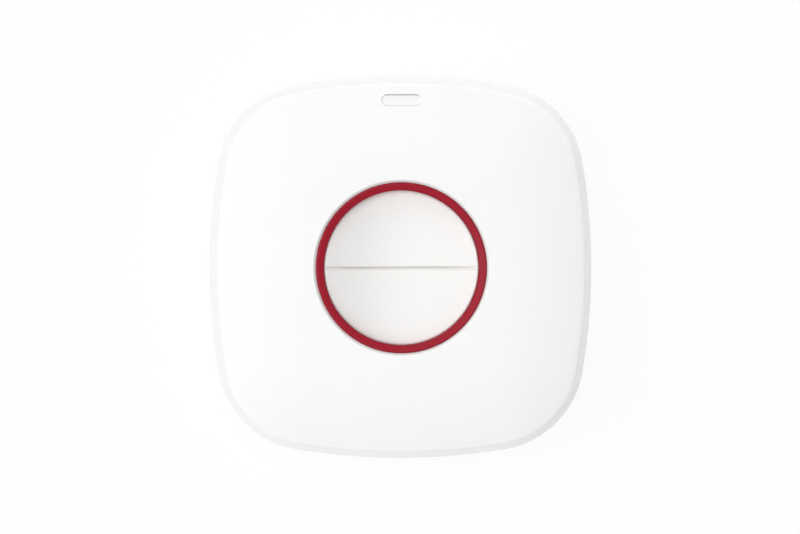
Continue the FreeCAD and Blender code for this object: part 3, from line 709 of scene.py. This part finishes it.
class PANIC_OT_solder(bpy.types.Operator):
    """Adds the solder, the tinned ends, the controller's leads and the crystal's lid"""

    bl_idname = "panic_button.solder"
    bl_label = "Solder and pads"
    bl_options = {"REGISTER", "UNDO"}

    def execute(self, context):
        tin = metal("solder_tin", *SOLDER_TIN, 0.24, size=0.5, relief=0.002)
        self.add_solder(tin)
        self.add_ends(tin)
        self.add_leads(tin)
        self.add_lid(tin)
        return {"FINISHED"}

    def ends(self):
        """Middle of each small component's two ends, and which way each end points."""
        found = []
        for low, high in self.components():
            y = (low[1] + high[1]) / 2
            found += [(low[0], y, low[2], -1.0), (high[0], y, low[2], 1.0)]
        return found

    def components(self):
        """Boxes of the separate blocks in the small components' node, in millimetres."""
        vertices = NODES["board_passives"].data.vertices
        block = (1.7, 0.9, 1.7)  # a little more than a block's size
        boxes = []
        for corner in sorted({tuple(round(value / MM, 2) for value in each.co) for each in vertices}):
            near = [box for box in boxes if all(abs(corner[i] - box[0][i]) < block[i] for i in range(3))]
            if near:
                near[0][1] = [max(pair) for pair in zip(near[0][1], corner)]
                near[0][0] = [min(pair) for pair in zip(near[0][0], corner)]
            else:
                boxes.append([list(corner), list(corner)])
        return boxes

    def add_solder(self, tin):
        """Heaps of solder at the components' ends and at the feet of the larger parts."""
        places = [(x + way * SOLDER_OUTWARDS, y, z) for x, y, z, way in self.ends()]
        sizes = [COMPONENT_SOLDER] * len(places)
        for node, across, inwards, size in SOLDERED:
            low, high, middle = box_of(node)
            for x in (low[0] + inwards, high[0] - inwards):
                places += [(x, middle[1] + y, low[2]) for y in across]
                sizes += [size] * len(across)
        fitted(repeated(mound("solder_joints"), places, sizes), tin, 50.0)

    def add_ends(self, tin):
        """Tinned caps over the ends of the small components."""
        piece = brick("component_ends", COMPONENT_CAP, (0.0, 0.0, COMPONENT_CAP[2] / 2))
        eased(piece, off_the_foot, 0.04, 2)
        places = [(x - way * CAP_INWARDS, y, z) for x, y, z, way in self.ends()]
        fitted(repeated(piece, places), tin)

    def add_leads(self, tin):
        """Short leads round the controller's four sides."""
        low, high, middle = box_of("controller_chip")
        out = (high[0] - low[0]) / 2 + 0.05
        piece = brick("controller_leads", LEAD, (0.0, 0.0, LEAD[2] / 2))
        eased(piece, off_the_foot, 0.04, 2)
        places, sizes = [], []
        for step in range(LEADS_A_SIDE):
            along = (step - (LEADS_A_SIDE - 1) / 2) * LEAD_PITCH
            for way in (-out, out):
                places.append((middle[0] + along, middle[1] + way, low[2]))
                sizes.append((1.0, 1.8, 1.0))
                places.append((middle[0] + way, middle[1] + along, low[2]))
                sizes.append((1.8, 1.0, 1.0))
        fitted(repeated(piece, places, sizes), tin)

    def add_lid(self, tin):
        """Raised seam-welded lid on the crystal."""
        low, high, middle = box_of("crystal")
        seam, thickness = 0.5, 0.1
        size = (high[0] - low[0] - seam, high[1] - low[1] - seam, thickness)
        piece = brick("crystal_lid", size, (middle[0], middle[1], high[2] + thickness / 2))
        eased(piece, lambda middle, along: abs(along.z) > 0.9, 0.3, 4)
        choose(piece, "faces", lambda middle, normal: normal.z > 0.9)
        bpy.ops.mesh.inset(thickness=0.2 * MM)
        bpy.ops.transform.translate(value=(0.0, 0.0, 0.04 * MM))
        done()
        fitted(piece, tin)


class PANIC_OT_switches(bpy.types.Operator):
    """Finishes the two push switches under the keys"""

    bl_idname = "panic_button.switches"
    bl_label = "Switches"
    bl_options = {"REGISTER", "UNDO"}

    def execute(self, context):
        black = moulded("switch_moulding", *BLACK_NYLON, 0.5, grain=0.15, relief=0.002)
        coat(["upper_switch_base", "lower_switch_base", "upper_switch_stem", "lower_switch_stem"], black)
        plate = metal("switch_steel", *SWITCH_STEEL, 0.32, size=0.2, stretch=(1.0, 12.0, 1.0))
        coat(["upper_switch_plate", "lower_switch_plate"], plate)
        self.add_rivets(black)
        return {"FINISHED"}

    def add_rivets(self, black):
        """Melted pegs of the switch bases that hold the steel plates down."""
        places = []
        offsets = (-2.3, 2.3)
        for node in ("upper_switch_plate", "lower_switch_plate"):
            high, middle = box_of(node)[1:]
            places += [(x, middle[1] + y, high[2]) for x in offsets for y in offsets]
        fitted(repeated(stud("switch_rivets", 0.42, 0.16), places), black)


class PANIC_OT_cell(bpy.types.Operator):
    """Finishes the coin cell, its holder and its two contacts, and adds the cell's gasket"""

    bl_idname = "panic_button.cell"
    bl_label = "Coin cell"
    bl_options = {"REGISTER", "UNDO"}

    def execute(self, context):
        coat(["coin_cell"], turned_steel("cell_steel", *CELL_STEEL, 0.3))
        black = moulded("holder_moulding", *BLACK_NYLON, 0.55, grain=0.15, relief=0.002)
        coat(["battery_holder"], black)
        gilt = metal("gilt_strip", *GILT, 0.3, size=0.2, stretch=(1.0, 10.0, 1.0))
        coat(["positive_contact", "negative_contact"], gilt)
        top = box_of("coin_cell")[1][2]
        seal = hoop("cell_gasket", (10.8, 11.2), (top - 0.5, top - 0.2), 0.08)
        fitted(seal, black)
        return {"FINISHED"}


class PANIC_OT_fixings(bpy.types.Operator):
    """Finishes the board's screws"""

    bl_idname = "panic_button.fixings"
    bl_label = "Fixings"
    bl_options = {"REGISTER", "UNDO"}

    def execute(self, context):
        coat(["board_screws"], metal("zinc_plate", *ZINC, 0.38))
        self.add_pads()
        return {"FINISHED"}

    def add_pads(self):
        """Gilt pads on the board round the screws' heads."""
        gilt = metal("gilt_pad", *GILT, 0.35)
        head, copper = 1.9, 0.04  # the heads' radius and the pads' thickness
        reach = box_of("board_screws")[1][0] - head
        places = [(x, y, 0.0) for x in (-reach, reach) for y in (-reach, reach)]
        under = box_of("circuit_board")[0][2]
        pad = hoop("screw_pads", (head + 0.02, 2.7), (under - copper, under), 0.015, 48)
        fitted(repeated(pad, places), gilt)


class PANIC_OT_stage(bpy.types.Operator):
    """Lays the pale floor and sets the lamps, the sky and the camera"""

    bl_idname = "panic_button.stage"
    bl_label = "Stage"
    bl_options = {"REGISTER", "UNDO"}

    def execute(self, context):
        settings = context.scene.panic_button_stage
        scene = context.scene
        scene.view_settings.view_transform = "Standard"
        self.lay_floor(settings)
        self.set_sky(scene, settings)
        self.hang_lamps(settings)
        self.place_camera(scene, settings)
        return {"FINISHED"}

    def seen_directly(self, finish):
        """1 for rays that show a thing to the eye, 0 for those that light other things."""
        camera = finish.node("ShaderNodeLightPath", output="Is Camera Ray")
        glossy = finish.node("ShaderNodeLightPath", output="Is Glossy Ray")
        through = finish.node("ShaderNodeLightPath", output="Is Transmission Ray")
        return finish.node("ShaderNodeClamp", sockets={0: camera + glossy + through})

    def lay_floor(self, settings):
        """Paper that shows white with a faint shadow, and can be looked through from below.

        Under the case's overhanging sides it shows its shadow whole.
        """
        alone()
        width, below = 6.0, 0.1 * MM
        bpy.ops.mesh.primitive_plane_add(size=width, location=(0.0, 0.0, -below))
        floor = named("studio_floor")
        finish = Finish(bpy.data.materials.new("studio_paper"))
        seen = self.seen_directly(finish)
        paper = finish.node("ShaderNodeBsdfDiffuse", sockets={"Color": (0.95, 0.95, 0.95, 1.0)})
        white = finish.node("ShaderNodeEmission", sockets={"Strength": 1.0})
        clear = finish.node("ShaderNodeBsdfTransparent")
        length = finish.node("ShaderNodeLightPath", output="Ray Length")
        # For rays shorter than 0.6 mm the floor glows white: painted light on the case's underside where
        # it rests, which would otherwise lie in its own shade
        touching = length.maths("LESS_THAN", length, 0.6 * MM)
        x, y = finish.axes(finish.millimetres(), 2)
        squareness = 3.4  # makes the curve x^n + y^n = r^n follow the case's outline
        reach = (abs(x) ** squareness + abs(y) ** squareness) ** (1 / squareness)
        side = CAD_BOX[1][0] / MM
        shadow = finish.ramp(reach, side - 1.3, side - 0.1, 1.0, settings.shadow)
        bright = length.maths("MAXIMUM", seen * (1.0 - shadow), touching)
        lit = finish.node("ShaderNodeMixShader", sockets={0: bright, 1: paper, 2: white})
        under = finish.node("ShaderNodeNewGeometry", output="Backfacing")
        both = finish.node("ShaderNodeMixShader", sockets={0: under, 1: lit, 2: clear})
        finish.node("ShaderNodeOutputMaterial", sockets={"Surface": both})
        finish.owner.cycles.emission_sampling = "NONE"
        floor.data.materials.append(finish.owner)

    def set_sky(self, scene, settings):
        """Even light from all round, which shows white itself."""
        world = bpy.data.worlds.new("studio_sky")
        scene.world = world
        finish = Finish(world)
        seen = self.seen_directly(finish)
        light = finish.ramp(seen, 0.0, 1.0, settings.sky, 1.0)
        white = {"Color": (*WHITE, 1.0), "Strength": light}
        sky = finish.node("ShaderNodeBackground", sockets=white)
        finish.node("ShaderNodeOutputWorld", sockets={"Surface": sky})

    def hang_lamps(self, settings):
        """Area lamps that face the case from all round."""
        for name, (azimuth, elevation, distance, width, height, power) in LAMPS.items():
            lamp = bpy.data.lights.new(name, "AREA")
            lamp.shape = "RECTANGLE"
            lamp.size = width
            lamp.size_y = height
            lamp.energy = power * settings.lamps
            made = bpy.data.objects.new(name, lamp)
            bpy.context.scene.collection.objects.link(made)
            turn, rise = math.radians(azimuth), math.radians(elevation)
            flat = math.cos(rise)
            way = Vector((math.cos(turn) * flat, math.sin(turn) * flat, math.sin(rise)))
            made.location = way * distance
            made.rotation_euler = (-way).to_track_quat("-Z", "Y").to_euler()
            made.visible_camera = False

    def place_camera(self, scene, settings):
        """Long lens that looks straight down but for a slight lean, with the window at the top."""
        camera = bpy.data.cameras.new("photo_camera")
        camera.lens = settings.lens
        camera.sensor_width = 36.0
        made = bpy.data.objects.new("photo_camera", camera)
        scene.collection.objects.link(made)
        distance = settings.frame_width * camera.lens / camera.sensor_width
        back = Vector((-math.tan(settings.lean[0]), math.tan(settings.lean[1]), 1.0)).normalized()
        right = Vector((0.0, 1.0, 0.0)).cross(back).normalized()
        made.location = Vector(settings.aim) + distance * back
        made.rotation_euler = Matrix((right, back.cross(right), back)).transposed().to_euler()
        camera.clip_start = distance / 10
        camera.clip_end = distance * 10
        scene.camera = made


class PANIC_PT_panel(bpy.types.Panel):
    """Operators of the panic button, in order"""

    bl_idname = "PANIC_PT_panel"
    bl_label = "Panic button"
    bl_space_type = "VIEW_3D"
    bl_region_type = "UI"
    bl_category = "Panic button"

    def draw(self, context):
        for operator in OPERATORS:
            self.layout.operator(operator.bl_idname)


OPERATORS = (
    PANIC_OT_covers,
    PANIC_OT_keys,
    PANIC_OT_trim,
    PANIC_OT_window,
    PANIC_OT_board,
    PANIC_OT_solder,
    PANIC_OT_switches,
    PANIC_OT_cell,
    PANIC_OT_fixings,
    PANIC_OT_stage,
)
CLASSES = (CoverSettings, StageSettings, *OPERATORS, PANIC_PT_panel)


def register():
    for made in CLASSES:
        bpy.utils.register_class(made)
    bpy.types.Scene.panic_button_covers = PointerProperty(type=CoverSettings)
    bpy.types.Scene.panic_button_stage = PointerProperty(type=StageSettings)


def unregister():
    del bpy.types.Scene.panic_button_stage
    del bpy.types.Scene.panic_button_covers
    for made in reversed(CLASSES):
        bpy.utils.unregister_class(made)


def main():
    """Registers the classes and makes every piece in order."""
    register()
    bpy.ops.panic_button.covers()
    bpy.ops.panic_button.keys()
    bpy.ops.panic_button.trim()
    bpy.ops.panic_button.window()
    bpy.ops.panic_button.board()
    bpy.ops.panic_button.solder()
    bpy.ops.panic_button.switches()
    bpy.ops.panic_button.cell()
    bpy.ops.panic_button.fixings()
    bpy.ops.panic_button.stage()


if __name__ == "__main__":
    main()
